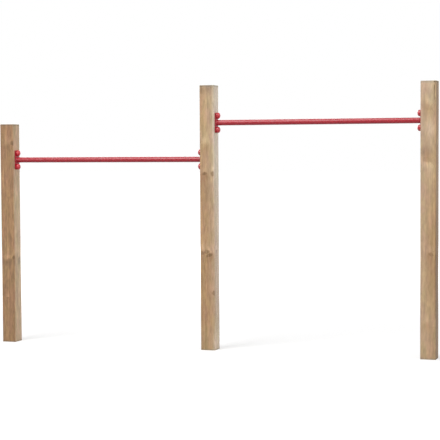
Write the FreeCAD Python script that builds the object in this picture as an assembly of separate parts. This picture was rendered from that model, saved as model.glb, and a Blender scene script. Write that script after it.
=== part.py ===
import FreeCAD, Part
import math
import os

# Double tumbling bar: three planed timber posts in a row carry two steel bars at two heights.
# Each bar is a tube with a flange welded on at either end. Two coach screws hold each flange to
# its post, and a two-part snap cap covers every screw head.
# Millimetres. X runs along the bars, Z is up, and the origin is under the middle post's centre.

Vector = FreeCAD.Vector

# Posts: planed softwood, eased along their length and at the top, sawn square at the foot
POST_WIDTH = 90.0
POST_TALL = 1600.0
POST_SHORT = 1380.0
POST_ARRIS_RADIUS = 4.0
POST_TOP_CHAMFER = 2.5

# Bars: round tube between the faces of neighbouring posts
BAR_CLEAR_LENGTH = 1250.0
BAR_DIAMETER = 33.7
BAR_WALL = 2.6
BAR_DROP = 225.0  # from the top of the bar's own post down to its axis

# Flanges: flat bar with one screw hole above the tube and one below
FLANGE_WIDTH = 50.0
FLANGE_THICKNESS = 5.0
FLANGE_CORNER_RADIUS = 6.0
FLANGE_EDGE_RADIUS = 0.8
FLANGE_HOLE_TO_END = 17.5
FLANGE_HOLE_CLEARANCE = 1.0  # on the screw's diameter
WELD_LEG = 4.0
WELD_BULGE = 0.5  # how far the bead's face stands out from a straight fillet
CAP_TO_WELD = 2.65  # gap between a cap and the toe of the weld

# Coach screws and the washers under their heads
SCREW_DIAMETER = 10.0
SCREW_LENGTH = 80.0  # under the head
SCREW_POINT_LENGTH = 11.0
SCREW_HEAD_ACROSS_FLATS = 17.0
SCREW_HEAD_HEIGHT = 7.0
SCREW_HEAD_CHAMFER_ANGLE = 30.0
WASHER_DIAMETER = 21.0
WASHER_THICKNESS = 2.0
WASHER_CLEARANCE = 0.5  # on the screw's diameter
PILOT_CLEARANCE = 0.05  # radial, between screw and timber
PILOT_TIP_CLEARANCE = 1.0

# Snap caps: a cup clamped under the washer, and a domed lid that clips into it
CAP_DIAMETER = 38.0
CAP_HEIGHT = 21.5  # from the flange to the top of the dome
CAP_BASE_HEIGHT = 8.0
CAP_FLOOR = 3.0
CAP_WALL = 2.2
CAP_DRAFT = 0.3  # how much the base narrows from its foot to its rim
CAP_FOOT_RADIUS = 0.8
LID_WALL = 2.0
LID_BAND = 1.8  # straight band of the lid above the seam
LID_SHOULDER_RADIUS = 7.0  # between the band and the crown of the dome
LID_SKIRT_DEPTH = 3.4
LID_SKIRT_WALL = 1.6
LID_SKIRT_CLEARANCE = 0.15
SNAP_BEAD_HEIGHT = 0.35  # how far the lid's bead stands out into the base's groove
SNAP_BEAD_WIDTH = 1.0
PRY_NOTCH_WIDTH = 7.0
PRY_NOTCH_HEIGHT = 1.2
PRY_NOTCH_DEPTH = 1.4

# Derived sizes
POST_PITCH = BAR_CLEAR_LENGTH + POST_WIDTH
HOLE_PITCH = BAR_DIAMETER + 2 * (WELD_LEG + CAP_TO_WELD) + CAP_DIAMETER
FLANGE_HEIGHT = HOLE_PITCH + 2 * FLANGE_HOLE_TO_END
TUBE_LENGTH = BAR_CLEAR_LENGTH - 2 * FLANGE_THICKNESS
CAP_SEAT = FLANGE_THICKNESS  # distances from the post's face, out along a screw
WASHER_SEAT = CAP_SEAT + CAP_FLOOR
HEAD_SEAT = WASHER_SEAT + WASHER_THICKNESS
SCREW_REACH = SCREW_LENGTH - HEAD_SEAT  # length of screw inside the timber
RIM_RADIUS = CAP_DIAMETER / 2 - CAP_DRAFT
CUP_RADIUS = RIM_RADIUS - CAP_WALL
SCREW_HOLE_RADIUS = (SCREW_DIAMETER + FLANGE_HOLE_CLEARANCE) / 2

SAME_PLACE = 1e-6  # points closer than this lie together

# Each post's centre and length, then each bar's two posts and the height of its axis
POSTS = {
    "left_post": (-POST_PITCH, POST_SHORT),
    "middle_post": (0.0, POST_TALL),
    "right_post": (POST_PITCH, POST_TALL),
}
BARS = {
    "low_bar": ("left_post", "middle_post", POST_SHORT - BAR_DROP),
    "high_bar": ("middle_post", "right_post", POST_TALL - BAR_DROP),
}


def line(start, end):
    return Part.LineSegment(start, end).toShape()


def outline(*points):
    """Closed chain of straight edges through (along X, radius) points, in the XZ plane."""
    corners = [Vector(along, 0, radius) for along, radius in points]
    return [line(a, b) for a, b in zip(corners, corners[1:] + corners[:1])]


def turned(edges):
    """Solid of revolution about the X axis of a closed chain of edges in the XZ plane."""
    face = Part.Face(Part.Wire(Part.sortEdges(edges)[0]))
    return face.revolve(Vector(), Vector(1, 0, 0), 360)


def ring(inner, outer, start, length):
    """Ring about the X axis between two radii, or a disc where the inner one is zero."""
    end = start + length
    return turned(outline((start, inner), (end, inner), (end, outer), (start, outer)))


def polar(centre, radius, angle):
    """Point in the XZ plane at an angle from the X axis."""
    return centre + Vector(radius * math.cos(angle), 0, radius * math.sin(angle))


def arc(centre, radius, start, end):
    points = [polar(centre, radius, angle) for angle in (start, (start + end) / 2, end)]
    return Part.Arc(*points).toShape()


def dome(foot, height, radius, shoulder_radius):
    """Two tangent arcs from a vertical wall over its shoulder to a crown centred on the X axis."""
    chord = height**2 + radius**2 - 2 * radius * shoulder_radius
    crown_radius = chord / 2 / (height - shoulder_radius)
    crown_centre = Vector(foot + height - crown_radius, 0, 0)
    shoulder_centre = Vector(foot, 0, radius - shoulder_radius)
    meet = math.atan2(shoulder_centre.z, shoulder_centre.x - crown_centre.x)
    shoulder = arc(shoulder_centre, shoulder_radius, math.pi / 2, meet)
    crown = arc(crown_centre, crown_radius, meet, 0)
    return [shoulder, crown]


def edges_along(shape, direction):
    """The straight edges of a shape that run along a direction."""
    found = []
    for edge in shape.Edges:
        span = edge.Vertexes[-1].Point - edge.Vertexes[0].Point
        if isinstance(edge.Curve, Part.Line) and span.cross(direction).Length < SAME_PLACE * span.Length:
            found.append(edge)
    return found


def edges_at(shape, axis, value):
    """The edges of a shape that lie wholly at one X, Y or Z."""
    found = []
    for edge in shape.Edges:
        ends = getattr(edge.BoundBox, axis + "Min"), getattr(edge.BoundBox, axis + "Max")
        if all(abs(end - value) < SAME_PLACE for end in ends):
            found.append(edge)
    return found


# The pieces of a fixing are drawn at a post's face, with X pointing out of the timber


def flange():
    """Flat plate with rounded corners and two screw holes."""
    corner = Vector(0, -FLANGE_WIDTH / 2, -FLANGE_HEIGHT / 2)
    plate = Part.makeBox(FLANGE_THICKNESS, FLANGE_WIDTH, FLANGE_HEIGHT, corner)
    plate = plate.makeFillet(FLANGE_CORNER_RADIUS, edges_along(plate, Vector(1, 0, 0)))
    plate = plate.makeFillet(FLANGE_EDGE_RADIUS, edges_at(plate, "X", FLANGE_THICKNESS))
    for level in (-1, 1):
        hole = ring(0, SCREW_HOLE_RADIUS, 0, FLANGE_THICKNESS)
        plate = plate.cut(hole.translated(Vector(0, 0, level * HOLE_PITCH / 2)))
    return plate


def weld():
    """Fillet weld in the corner between flange and tube, with a slightly full face."""
    tube_radius = BAR_DIAMETER / 2
    corner = Vector(FLANGE_THICKNESS, 0, tube_radius)
    on_flange = corner + Vector(0, 0, WELD_LEG)
    on_tube = corner + Vector(WELD_LEG, 0, 0)
    crown = (on_flange + on_tube) / 2 + Vector(1, 0, 1).normalize() * WELD_BULGE
    face = Part.Arc(on_flange, crown, on_tube).toShape()
    return turned([line(on_tube, corner), line(corner, on_flange), face])


def screw_shank(gap=0.0, tip_gap=0.0):
    """Shank and point under the head. A gap makes the pilot hole that the screw sits in."""
    radius = SCREW_DIAMETER / 2 + gap
    tip = -SCREW_REACH - tip_gap
    shoulder = -SCREW_REACH + SCREW_POINT_LENGTH
    return turned(outline((tip, 0), (HEAD_SEAT, 0), (HEAD_SEAT, radius), (shoulder, radius)))


def screw():
    """Hexagon head, chamfered at its corners, on the shank."""
    flat_radius = SCREW_HEAD_ACROSS_FLATS / 2
    corner_radius = flat_radius / math.cos(math.pi / 6)
    corners = []
    for side in range(7):
        turn = side * math.pi / 3
        corners.append(Vector(HEAD_SEAT, corner_radius * math.cos(turn), corner_radius * math.sin(turn)))
    prism = Part.Face(Part.makePolygon(corners)).extrude(Vector(SCREW_HEAD_HEIGHT, 0, 0))
    top = HEAD_SEAT + SCREW_HEAD_HEIGHT
    chamfer = (corner_radius - flat_radius) * math.tan(math.radians(SCREW_HEAD_CHAMFER_ANGLE))
    envelope = outline(
        (HEAD_SEAT, 0),
        (top, 0),
        (top, flat_radius),
        (top - chamfer, corner_radius),
        (HEAD_SEAT, corner_radius),
    )
    return screw_shank().fuse(prism.common(turned(envelope))).removeSplitter()


def washer():
    return ring((SCREW_DIAMETER + WASHER_CLEARANCE) / 2, WASHER_DIAMETER / 2, WASHER_SEAT, WASHER_THICKNESS)


def snap_middle():
    """Where the snap bead and its groove sit, out along the screw."""
    return CAP_SEAT + CAP_BASE_HEIGHT - LID_SKIRT_DEPTH / 2


def cap_base():
    """Cup with a groove inside its wall for the lid's bead."""
    rim = CAP_SEAT + CAP_BASE_HEIGHT
    foot_radius = CAP_DIAMETER / 2
    groove_radius = CUP_RADIUS + SNAP_BEAD_HEIGHT
    groove_low = snap_middle() - SNAP_BEAD_WIDTH / 2 - LID_SKIRT_CLEARANCE
    groove_high = snap_middle() + SNAP_BEAD_WIDTH / 2 + LID_SKIRT_CLEARANCE
    cup = turned(
        outline(
            (CAP_SEAT, SCREW_HOLE_RADIUS),
            (CAP_SEAT, foot_radius),
            (rim, RIM_RADIUS),
            (rim, CUP_RADIUS),
            (groove_high, CUP_RADIUS),
            (groove_high, groove_radius),
            (groove_low, groove_radius),
            (groove_low, CUP_RADIUS),
            (WASHER_SEAT, CUP_RADIUS),
            (WASHER_SEAT, SCREW_HOLE_RADIUS),
        )
    )
    foot = [edge for edge in edges_at(cup, "X", CAP_SEAT) if edge.Curve.Radius > CUP_RADIUS]
    return cup.makeFillet(CAP_FOOT_RADIUS, foot)


def cap_lid():
    """Dome with a beaded skirt that enters the cup, and a notch below for prising it off."""
    seam = CAP_SEAT + CAP_BASE_HEIGHT
    shoulder = seam + LID_BAND
    top = CAP_SEAT + CAP_HEIGHT
    skirt_end = seam - LID_SKIRT_DEPTH
    skirt_outer = CUP_RADIUS - LID_SKIRT_CLEARANCE
    skirt_inner = skirt_outer - LID_SKIRT_WALL
    bead_radius = skirt_outer + SNAP_BEAD_HEIGHT
    bead_low = snap_middle() - SNAP_BEAD_WIDTH / 2
    bead_high = snap_middle() + SNAP_BEAD_WIDTH / 2
    walls = [
        (shoulder, RIM_RADIUS),
        (seam, RIM_RADIUS),
        (seam, skirt_outer),
        (bead_high, skirt_outer),
        (snap_middle(), bead_radius),
        (bead_low, skirt_outer),
        (skirt_end, skirt_outer),
        (skirt_end, skirt_inner),
        (shoulder, skirt_inner),
    ]
    points = [Vector(along, 0, radius) for along, radius in walls]
    edges = [line(a, b) for a, b in zip(points, points[1:])]
    edges += dome(shoulder, top - shoulder, RIM_RADIUS, LID_SHOULDER_RADIUS)
    edges += dome(shoulder, top - LID_WALL - shoulder, skirt_inner, LID_SHOULDER_RADIUS - LID_WALL)
    edges.append(line(Vector(top, 0, 0), Vector(top - LID_WALL, 0, 0)))
    notch_corner = Vector(seam, -PRY_NOTCH_WIDTH / 2, PRY_NOTCH_DEPTH - 2 * RIM_RADIUS)
    notch = Part.makeBox(PRY_NOTCH_HEIGHT, PRY_NOTCH_WIDTH, RIM_RADIUS, notch_corner)
    return turned(edges).cut(notch)


FIXING_PIECES = {"screw": screw(), "washer": washer(), "cap_base": cap_base(), "cap_lid": cap_lid()}
FLANGE = flange()
WELD = weld()
PILOT_HOLE = screw_shank(PILOT_CLEARANCE, PILOT_TIP_CLEARANCE)


def bar_ends(bar):
    """End, post, X of the post's face, the way the face looks and the bar's height."""
    left, right, height = BARS[bar]
    return (
        ("left", left, POSTS[left][0] + POST_WIDTH / 2, 1, height),
        ("right", right, POSTS[right][0] - POST_WIDTH / 2, -1, height),
    )


def seated(shape, face, side, height):
    """A piece drawn at a post's face, moved to its own face and turned to look out of it."""
    placed = shape.copy()
    if side < 0:
        placed.rotate(Vector(), Vector(0, 0, 1), 180)
    placed.translate(Vector(face, 0, height))
    return placed


def hole_heights(height):
    return {"top": height + HOLE_PITCH / 2, "bottom": height - HOLE_PITCH / 2}


def post(name):
    """Square timber with a pilot hole for every screw that enters it."""
    centre, length = POSTS[name]
    corner = Vector(centre - POST_WIDTH / 2, -POST_WIDTH / 2, 0)
    timber = Part.makeBox(POST_WIDTH, POST_WIDTH, length, corner)
    timber = timber.makeFillet(POST_ARRIS_RADIUS, edges_along(timber, Vector(0, 0, 1)))
    timber = timber.makeChamfer(POST_TOP_CHAMFER, edges_at(timber, "Z", length))
    for bar in BARS:
        for _, carrier, face, side, height in bar_ends(bar):
            if carrier == name:
                for level in hole_heights(height).values():
                    timber = timber.cut(seated(PILOT_HOLE, face, side, level))
    return timber


def bar_pieces(bar):
    """Every piece of one bar by name: tube, flanges, welds, screws, washers and caps."""
    left, _, height = BARS[bar]
    start = POSTS[left][0] + POST_WIDTH / 2 + FLANGE_THICKNESS
    tube = ring(BAR_DIAMETER / 2 - BAR_WALL, BAR_DIAMETER / 2, start, TUBE_LENGTH)
    pieces = {bar + "_tube": tube.translated(Vector(0, 0, height))}
    for end, _, face, side, _ in bar_ends(bar):
        prefix = bar + "_" + end
        pieces[prefix + "_flange"] = seated(FLANGE, face, side, height)
        pieces[prefix + "_weld"] = seated(WELD, face, side, height)
        for level, level_height in hole_heights(height).items():
            for piece, shape in FIXING_PIECES.items():
                pieces["_".join((prefix, level, piece))] = seated(shape, face, side, level_height)
    return pieces


def main():
    nodes = {name: post(name) for name in POSTS}
    for bar in BARS:
        nodes.update(bar_pieces(bar))
    os.makedirs("parts", exist_ok=True)
    for name, shape in nodes.items():
        shape.exportStep(os.path.join("parts", name + ".step"))


main()
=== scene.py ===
import math
from collections import namedtuple
from functools import partialmethod
from itertools import product

import bmesh
import bpy
from bpy.props import FloatProperty, FloatVectorProperty, IntProperty, PointerProperty
from mathutils import Matrix, Vector, noise


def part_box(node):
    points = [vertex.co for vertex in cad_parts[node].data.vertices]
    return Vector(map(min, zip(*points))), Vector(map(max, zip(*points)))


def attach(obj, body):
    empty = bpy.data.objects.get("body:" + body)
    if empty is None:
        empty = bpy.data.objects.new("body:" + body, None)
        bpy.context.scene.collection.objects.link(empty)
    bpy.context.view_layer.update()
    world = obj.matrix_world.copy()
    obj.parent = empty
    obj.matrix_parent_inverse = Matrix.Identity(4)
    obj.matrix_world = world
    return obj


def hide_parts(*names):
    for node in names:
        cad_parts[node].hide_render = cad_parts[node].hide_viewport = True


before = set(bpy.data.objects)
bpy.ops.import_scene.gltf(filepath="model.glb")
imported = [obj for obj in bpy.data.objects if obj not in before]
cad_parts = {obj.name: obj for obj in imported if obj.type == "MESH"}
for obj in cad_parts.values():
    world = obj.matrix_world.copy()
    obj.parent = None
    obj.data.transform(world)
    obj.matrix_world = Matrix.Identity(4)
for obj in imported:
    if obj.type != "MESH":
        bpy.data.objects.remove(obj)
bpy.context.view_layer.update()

bl_info = {
    "name": "Double Horizontal Bar",
    "version": (1, 0, 0),
    "blender": (4, 5, 0),
    "location": "View3D > Sidebar > Bars",
    "description": "Timber posts that carry red steel bars on capped flanges",
    "category": "Object",
}

BODY = "root"
POSTS = ("left_post", "middle_post", "right_post")
BARS = {
    "low_bar": {"left": "left_post", "right": "middle_post"},
    "high_bar": {"left": "middle_post", "right": "right_post"},
}
ENDS = ("left", "right")
LEVELS = ("top", "bottom")

# How finely shapes are divided
ROUND_STEPS = 72  # round a tube, a cap or a washer
DOME_STEPS = 10  # along each arc of a cap's dome
EDGE_STEPS = 4  # across an eased edge
TOP_STEPS = 3  # across the edges of a post's top
CORNER_STEPS = 8  # round a flange's corner
HOLE_STEPS = 40  # round a flange's hole
POST_ROWS = 90  # up a post
CHECK_ROWS = 22  # along a drying check
SCREW_STEPS = 48  # round a screw
THREAD_STEPS = 24  # in each turn of a thread
WELD_STEPS = 6  # across a weld's face
RIPPLE_STEPS = 4  # along each ripple of a weld
MERGED = 1e-7  # points closer than this become one
SHARP_EDGE = math.radians(35)  # edges that turn by more than this are shaded sharp

# Shapes that only the looks have
WAVES_ACROSS, WAVES_ALONG = 9.0, 5.0  # waves of a planed face in a metre
OPEN_TAPER, CLOSED_TAPER = 0.6, 0.8  # powers by which checks narrow towards their ends
CHECK_HAIRLINE = 0.04  # share of a check's mouth that is left at its ends
CHECK_WANDER = 0.9  # how far a check strays, in mouths
CHECK_BENDS = Vector((100.0, 10.0, 7.0))  # how often, by its place across, its foot and the way along it
CHECK_OVERRUN = 1.05  # an open check is cut past the top by this much
CUTTER_SPARE = 0.001  # how far a check's cutter stands out of the face
PILOT_SPARE = 0.001  # how far a pilot hole goes past its screw
WELD_SKIN = 1e-6  # a weld's points deeper than this are on its face
RIPPLE_SLANT, RIPPLE_FADE = 1.2, 4.0  # lean of a ripple, and how fast it fades at the weld's toes
WELD_GRAIN = 900.0  # how often a ripple's height changes in a metre
HEAD_SPARE = 1.2  # how far a head's chamfering cone reaches, in head corners
THREAD_ROOT, THREAD_END = 0.9, 0.95  # a thread's foot and its run-out crest, in core radii

# A knot is where a branch comes out of a post: the point on a face from the middle of the post's foot,
# the branch's radius there, how dark its heart is, how strongly the grain beside it is shaded, and how much
# taller than wide it is.
Knot = namedtuple("Knot", "across depth height radius dark shade tall", defaults=(1.0,))

KNOTS = {
    "left_post": (
        Knot(0.045, -0.045, 0.541, 0.0036, 1.35, 0.4, 6.0),
        Knot(0.004, -0.045, 0.518, 0.013, 0.35, 0.35),
        Knot(0.042, -0.045, 1.264, 0.0036, 1.45, 0.4, 6.0),
        Knot(0.0, -0.045, 1.24, 0.012, 0.3, 0.35),
        Knot(-0.006, -0.045, 0.28, 0.0045, 0.45, 0.3),
        Knot(0.045, 0.022, 0.53, 0.008, 0.6, 0.5),
        Knot(-0.045, 0.004, 0.53, 0.01, 0.9, 0.6),
        Knot(-0.045, -0.012, 1.19, 0.007, 0.7, 0.5),
        Knot(0.006, 0.045, 0.89, 0.011, 0.9, 0.6),
        Knot(-0.02, 0.045, 0.205, 0.007, 0.7, 0.5),
    ),
    "middle_post": (
        Knot(-0.006, -0.045, 0.598, 0.0105, 1.0, 0.5),
        Knot(0.013, -0.045, 0.578, 0.01, 0.95, 0.5),
        Knot(-0.034, -0.045, 0.592, 0.011, 0.95, 0.4),
        Knot(-0.016, -0.045, 1.07, 0.009, 1.05, 0.6),
        Knot(0.037, -0.045, 1.07, 0.0042, 1.15, 0.4, 4.0),
        Knot(0.041, -0.045, 0.352, 0.004, 0.85, 0.4, 5.0),
        Knot(-0.01, -0.045, 1.235, 0.012, 0.1, 0.4),
        Knot(0.045, -0.01, 0.6, 0.0085, 0.8, 0.4),
        Knot(-0.045, 0.01, 0.64, 0.01, 0.9, 0.6),
        Knot(-0.045, 0.02, 0.31, 0.008, 0.8, 0.5),
        Knot(0.012, 0.045, 1.32, 0.009, 0.9, 0.6),
        Knot(-0.016, 0.045, 0.72, 0.012, 0.8, 0.7),
    ),
    "right_post": (
        Knot(-0.006, -0.045, 1.452, 0.016, 0.25, 0.25),
        Knot(-0.006, -0.045, 1.152, 0.015, 0.3, -0.35),
        Knot(0.018, -0.045, 0.608, 0.0095, 0.62, 0.5),
        Knot(0.01, -0.045, 0.196, 0.016, 0.04, 0.15, 0.5),
        Knot(-0.045, 0.004, 0.89, 0.01, 0.8, 0.6),
        Knot(-0.045, -0.016, 0.33, 0.008, 0.7, 0.5),
        Knot(-0.01, 0.045, 1.24, 0.011, 0.8, 0.6),
        Knot(-0.006, 0.045, 0.47, 0.009, 0.8, 0.6),
    ),
}

# A tint area is a soft patch of another tint. Some are stains in the wood, others painted light: painted
# sheen on the right faces of the left and middle posts, and painted shade on the right face of the right
# post. Its middle from the middle of the post's foot, how far it reaches across, in depth and in height,
# and the tint at its middle.
TintArea = namedtuple("TintArea", "across depth height wide deep long tint")

STAINS_AND_PAINTED_LIGHT = {
    "left_post": (
        TintArea(-0.01, -0.045, 1.25, 0.08, 0.04, 0.4, (0.94, 0.93, 0.96)),
        # Painted sheen: whitens the middle of the right face
        TintArea(0.05, 0.0, 0.82, 0.03, 0.12, 0.25, (1.09, 1.12, 1.12)),
        TintArea(0.02, -0.045, 1.0, 0.04, 0.025, 0.4, (0.95, 0.94, 0.94)),
        TintArea(0.03, -0.045, 0.15, 0.03, 0.025, 0.35, (0.94, 0.94, 0.95)),
        TintArea(0.004, -0.045, 0.543, 0.05, 0.03, 0.018, (1.16, 1.16, 1.14)),
        TintArea(-0.005, -0.045, 0.508, 0.06, 0.03, 0.03, (0.8, 0.8, 0.81)),
        TintArea(0.05, 0.03, 0.49, 0.03, 0.05, 0.07, (0.74, 0.84, 0.72)),
        TintArea(0.05, 0.0, 1.38, 0.03, 0.12, 0.07, (0.86, 0.87, 0.86)),
    ),
    "middle_post": (
        # Painted sheen: these two whiten and cool the right face, over most of its height and at the foot
        TintArea(0.055, 0.01, 1.33, 0.03, 0.15, 0.9, (1.36, 1.56, 1.84)),
        TintArea(0.055, 0.01, 0.0, 0.03, 0.15, 0.25, (1.46, 1.74, 2.05)),
        TintArea(-0.03, -0.045, 1.25, 0.05, 0.04, 0.15, (1.08, 1.17, 1.22)),
        TintArea(-0.012, -0.045, 1.264, 0.05, 0.03, 0.03, (1.09, 1.1, 1.12)),
        TintArea(-0.01, -0.045, 1.0, 0.07, 0.04, 0.14, (0.88, 0.88, 0.87)),
        TintArea(0.025, -0.045, 1.5, 0.035, 0.02, 0.25, (0.87, 0.86, 0.85)),
        TintArea(0.025, -0.045, 0.85, 0.03, 0.02, 0.14, (0.91, 0.91, 0.88)),
        TintArea(-0.014, -0.06, 1.6, 0.09, 0.04, 0.1, (0.6, 0.59, 0.58)),
        TintArea(0.025, -0.045, 1.15, 0.03, 0.02, 0.1, (0.88, 0.88, 0.88)),
        TintArea(-0.025, -0.045, 0.46, 0.035, 0.02, 0.14, (0.93, 0.92, 0.9)),
        TintArea(0.0, -0.045, 0.05, 0.08, 0.03, 0.15, (0.98, 1.07, 1.1)),
    ),
    "right_post": (
        TintArea(0.02, -0.045, 1.4, 0.04, 0.03, 0.75, (1.03, 1.14, 1.28)),
        TintArea(-0.03, -0.045, 1.49, 0.04, 0.04, 0.12, (0.94, 0.89, 0.92)),
        TintArea(-0.03, -0.045, 1.06, 0.045, 0.04, 0.5, (0.92, 0.89, 0.9)),
        TintArea(0.02, -0.045, 0.12, 0.06, 0.03, 0.4, (1.13, 1.22, 1.36)),
        # Painted shade: darkens the middle of the right face
        TintArea(0.055, 0.01, 0.47, 0.03, 0.15, 0.65, (0.6, 0.52, 0.44)),
        TintArea(0.015, -0.045, 1.6, 0.04, 0.03, 0.08, (1.24, 1.25, 1.29)),
        TintArea(0.005, -0.045, 1.325, 0.06, 0.03, 0.06, (1.12, 1.15, 1.2)),
        TintArea(-0.014, -0.045, 1.198, 0.055, 0.03, 0.045, (0.82, 0.81, 0.8)),
        TintArea(-0.008, -0.045, 1.122, 0.06, 0.03, 0.032, (1.09, 1.1, 1.11)),
    ),
}

# A check is a crack that opens as timber dries: the face it is on, how far across that face and how high
# its lower end is, its length, its mouth and its depth. An open one runs out at the top of the post.
Check = namedtuple("Check", "face across foot length mouth depth open")

FACE_TURNS = {"front": 0, "right": 90, "back": 180, "left": 270}

CHECKS = {
    "left_post": (
        Check("back", -0.01, 0.42, 0.56, 0.0022, 0.022, False),
        Check("left", 0.014, 1.01, 0.37, 0.002, 0.018, True),
    ),
    "middle_post": (
        Check("back", 0.012, 0.13, 0.48, 0.0024, 0.024, False),
        Check("left", -0.018, 0.76, 0.26, 0.0016, 0.014, False),
    ),
    "right_post": (
        Check("front", 0.0365, 1.48, 0.12, 0.0042, 0.016, True),
        Check("back", -0.02, 0.56, 0.62, 0.0024, 0.024, False),
    ),
}

# How a post was cut from its log: the pith from the middle of the section, the middle of the heartwood and
# its radius at the foot, half the width of the change to sapwood, how fast the heartwood narrows upwards,
# the tints of heartwood and sapwood, how rough the planing left it, the painted shade laid on the wood
# beside the pith, and how strong the figure is.
Log = namedtuple(
    "Log",
    "pith heart radius fade narrowing heart_tint sap_tint rough core_tint figure",
    defaults=((1.0, 1.0, 1.0), 1.0),
)

LOGS = {
    # Heartwood and sapwood are the wood's own, but here their border is laid on the front right arris so that
    # the whole right face comes out pale beside a darker front: painted sheen on that face.
    "left_post": Log(
        pith=(-0.026, -0.026),
        heart=(-0.040, -0.130),
        radius=0.120,
        fade=0.003,
        narrowing=-0.006,
        heart_tint=(0.765, 0.745, 0.745),
        sap_tint=(0.96, 0.90, 0.82),
        rough=0.3,
        figure=1.45,
    ),
    "middle_post": Log(
        pith=(-0.042, -0.008),
        heart=(-0.042, -0.008),
        radius=0.100,
        fade=0.046,
        narrowing=0.028,
        heart_tint=(0.98, 1.00, 1.03),
        sap_tint=(0.97, 0.98, 1.00),
        rough=0.2,
    ),
    "right_post": Log(
        pith=(0.062, 0.0),
        heart=(0.062, 0.0),
        radius=0.106,
        fade=0.050,
        narrowing=0.012,
        heart_tint=(0.96, 1.0, 1.05),
        sap_tint=(0.96, 0.99, 1.02),
        rough=0.55,
        # Painted shade: darkens the right face and the right edge of the front, near the pith
        core_tint=(0.62, 0.66, 0.70),
    ),
}

# A figure is a pattern drawn out along the grain: how often it changes in a metre across the grain and
# along it, how much finer detail it has, how strong that detail is, and how far the pattern goes either way.
Figure = namedtuple("Figure", "across along detail rough reach", defaults=(1.0,))

FIGURES = {
    "streak": Figure(95.0, 1.3, 3.0, 0.55, 0.10),
    "fibre": Figure(620.0, 11.0, 3.0, 0.6, 0.06),
    "mottle": Figure(48.0, 11.0, 4.0, 0.6, 0.14),
    "fleck": Figure(120.0, 34.0, 2.0, 0.5, 0.09),
    "patch": Figure(14.0, 3.2, 2.0, 0.5, 0.06),
}
SLOW_BENDS = Figure(5.0, 1.6, 2.0, 0.5, 0.020)
QUICK_BENDS = Figure(60.0, 18.0, 3.0, 0.5, 0.0022)
KNOT_BENDS = 0.016  # how far the quick bends push a knot's outline
HUE_DRIFT = Figure(26.0, 9.0, 2.0, 0.5)
NOISE_MOST = (0.25, 0.75)  # where nearly all of a noise's values lie
NOISE_MIDDLE = (0.3, 0.7)  # where most of them lie

# How a tree grows
BRANCH_RISE = 0.22  # how much a branch climbs for its length
LOG_TAPER = 0.006  # how much a ring narrows for each metre up
RING_SWIRL = 1.5  # how far rings bend out round a branch, in branch radii
LATE_START, LATE_END = (0.35, 0.86), (1.0, 0.93)  # shares of a year in which its dark wood comes and goes
LATE_STRENGTH = (0.45, 1.0)  # from the weakest ring to the strongest
LATE_PATCHES = 40.0  # how often a ring's strength changes in a metre
CORE_SHADE_EDGE = (0.056, 0.042)  # distances from the pith between which the painted core shade comes in

# Round a branch, counted in branch radii from its middle
BRANCH_START = (0.004, 0.020)  # metres from the pith in which a branch comes in
HEART_EDGE = (1.15, 0.55)
GRAIN_OVAL = (1.0, 1.0, 0.5)  # grain runs round a branch in ovals that are taller than wide
SWIRL_FALL, SHADE_FALL, RIM_FALL = -0.55, -0.30, -14.0
RIM_ABOVE, RIM_BELOW = 0.9, -0.6  # the rim is faint above the heart and full below it
FAINT_RIM = 0.15

# Colour of the timber
SHADE_RANGE = (0.10, 0.32)  # of the shade beside knots, by the mottle
SHADE_PALENESS, SHADE_LIGHT = 1.5, 0.7  # how far that shade makes wood sappy and light
DRIFT_TINTS = ((0.98, 1.03, 0.95), (1.02, 0.98, 1.04))
LATE_TINT, LATE_DEPTH = (0.84, 0.77, 0.70), 0.8
TINT_AREA_EDGE = (1.0, 0.2)  # shares of a tint area's reach between which its tint comes in
KNOT_GRAIN = (0.30, 0.62, 0.35, 1.0)  # the mottle breaks up a knot's dark wood
KNOT_DEPTH = 0.85
TOP_BAND, FOOT_BAND = (0.016, 0.006), (0.012, 0.004)  # darker bands round a post's top and foot, as distances from its ends
END_FACING = (0.3, 0.8)  # how far a face is turned to the end grain
END_TINT, SAWN_ROUGHNESS = (0.78, 0.85, 0.92), 0.8
FIBRE_ROUGHNESS = 0.14
LATE_RELIEF, FIBRE_RELIEF = 0.5, 0.8
PINE_BUMP = (0.45, 0.0004)  # strength and height of the relief

# A soft box is a flat lamp: where it stands, the point that it faces, its width and its height.
SoftBox = namedtuple("SoftBox", "place target width height")

SOFT_BOXES = {
    "panel": SoftBox((-2.6, -5.5, 7.8), (0.0, 0.0, 1.25), 4.8, 10.4),
    "key": SoftBox((2.8, -3.1, 1.9), (0.0, 0.0, 0.7), 1.6, 1.6),
    "back": SoftBox((-3.5, 7.0, 4.0), (0.0, 0.0, 0.8), 6.0, 6.0),
}
FILL_PLACE = (9.8, -1.7, 2.1)
FILL_SPREAD = math.radians(90)
FLOOR_GLOW = (1.5, 5.0, 0.57, 0.95)  # from near the set to far from it, and the floor's own white there
SENSOR_WIDTH = 36.0
VIEW_LIMIT = 500.0


# Settings


def kind_of(make, **unit):
    """Makes settings of one kind, each with its name, description and default."""

    def setting(name, description, default):
        return make(name=name, description=description, default=default, **unit)

    return setting


Length = kind_of(FloatProperty, unit="LENGTH")
Angle = kind_of(FloatProperty, subtype="ANGLE")
Power = kind_of(FloatProperty, subtype="POWER")
Strength = kind_of(FloatProperty, subtype="UNSIGNED")
Focus = kind_of(FloatProperty, unit="CAMERA")
Count = kind_of(IntProperty, subtype="UNSIGNED")
Place = kind_of(FloatVectorProperty, subtype="TRANSLATION")
Colour = kind_of(FloatVectorProperty, subtype="COLOR")


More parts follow.
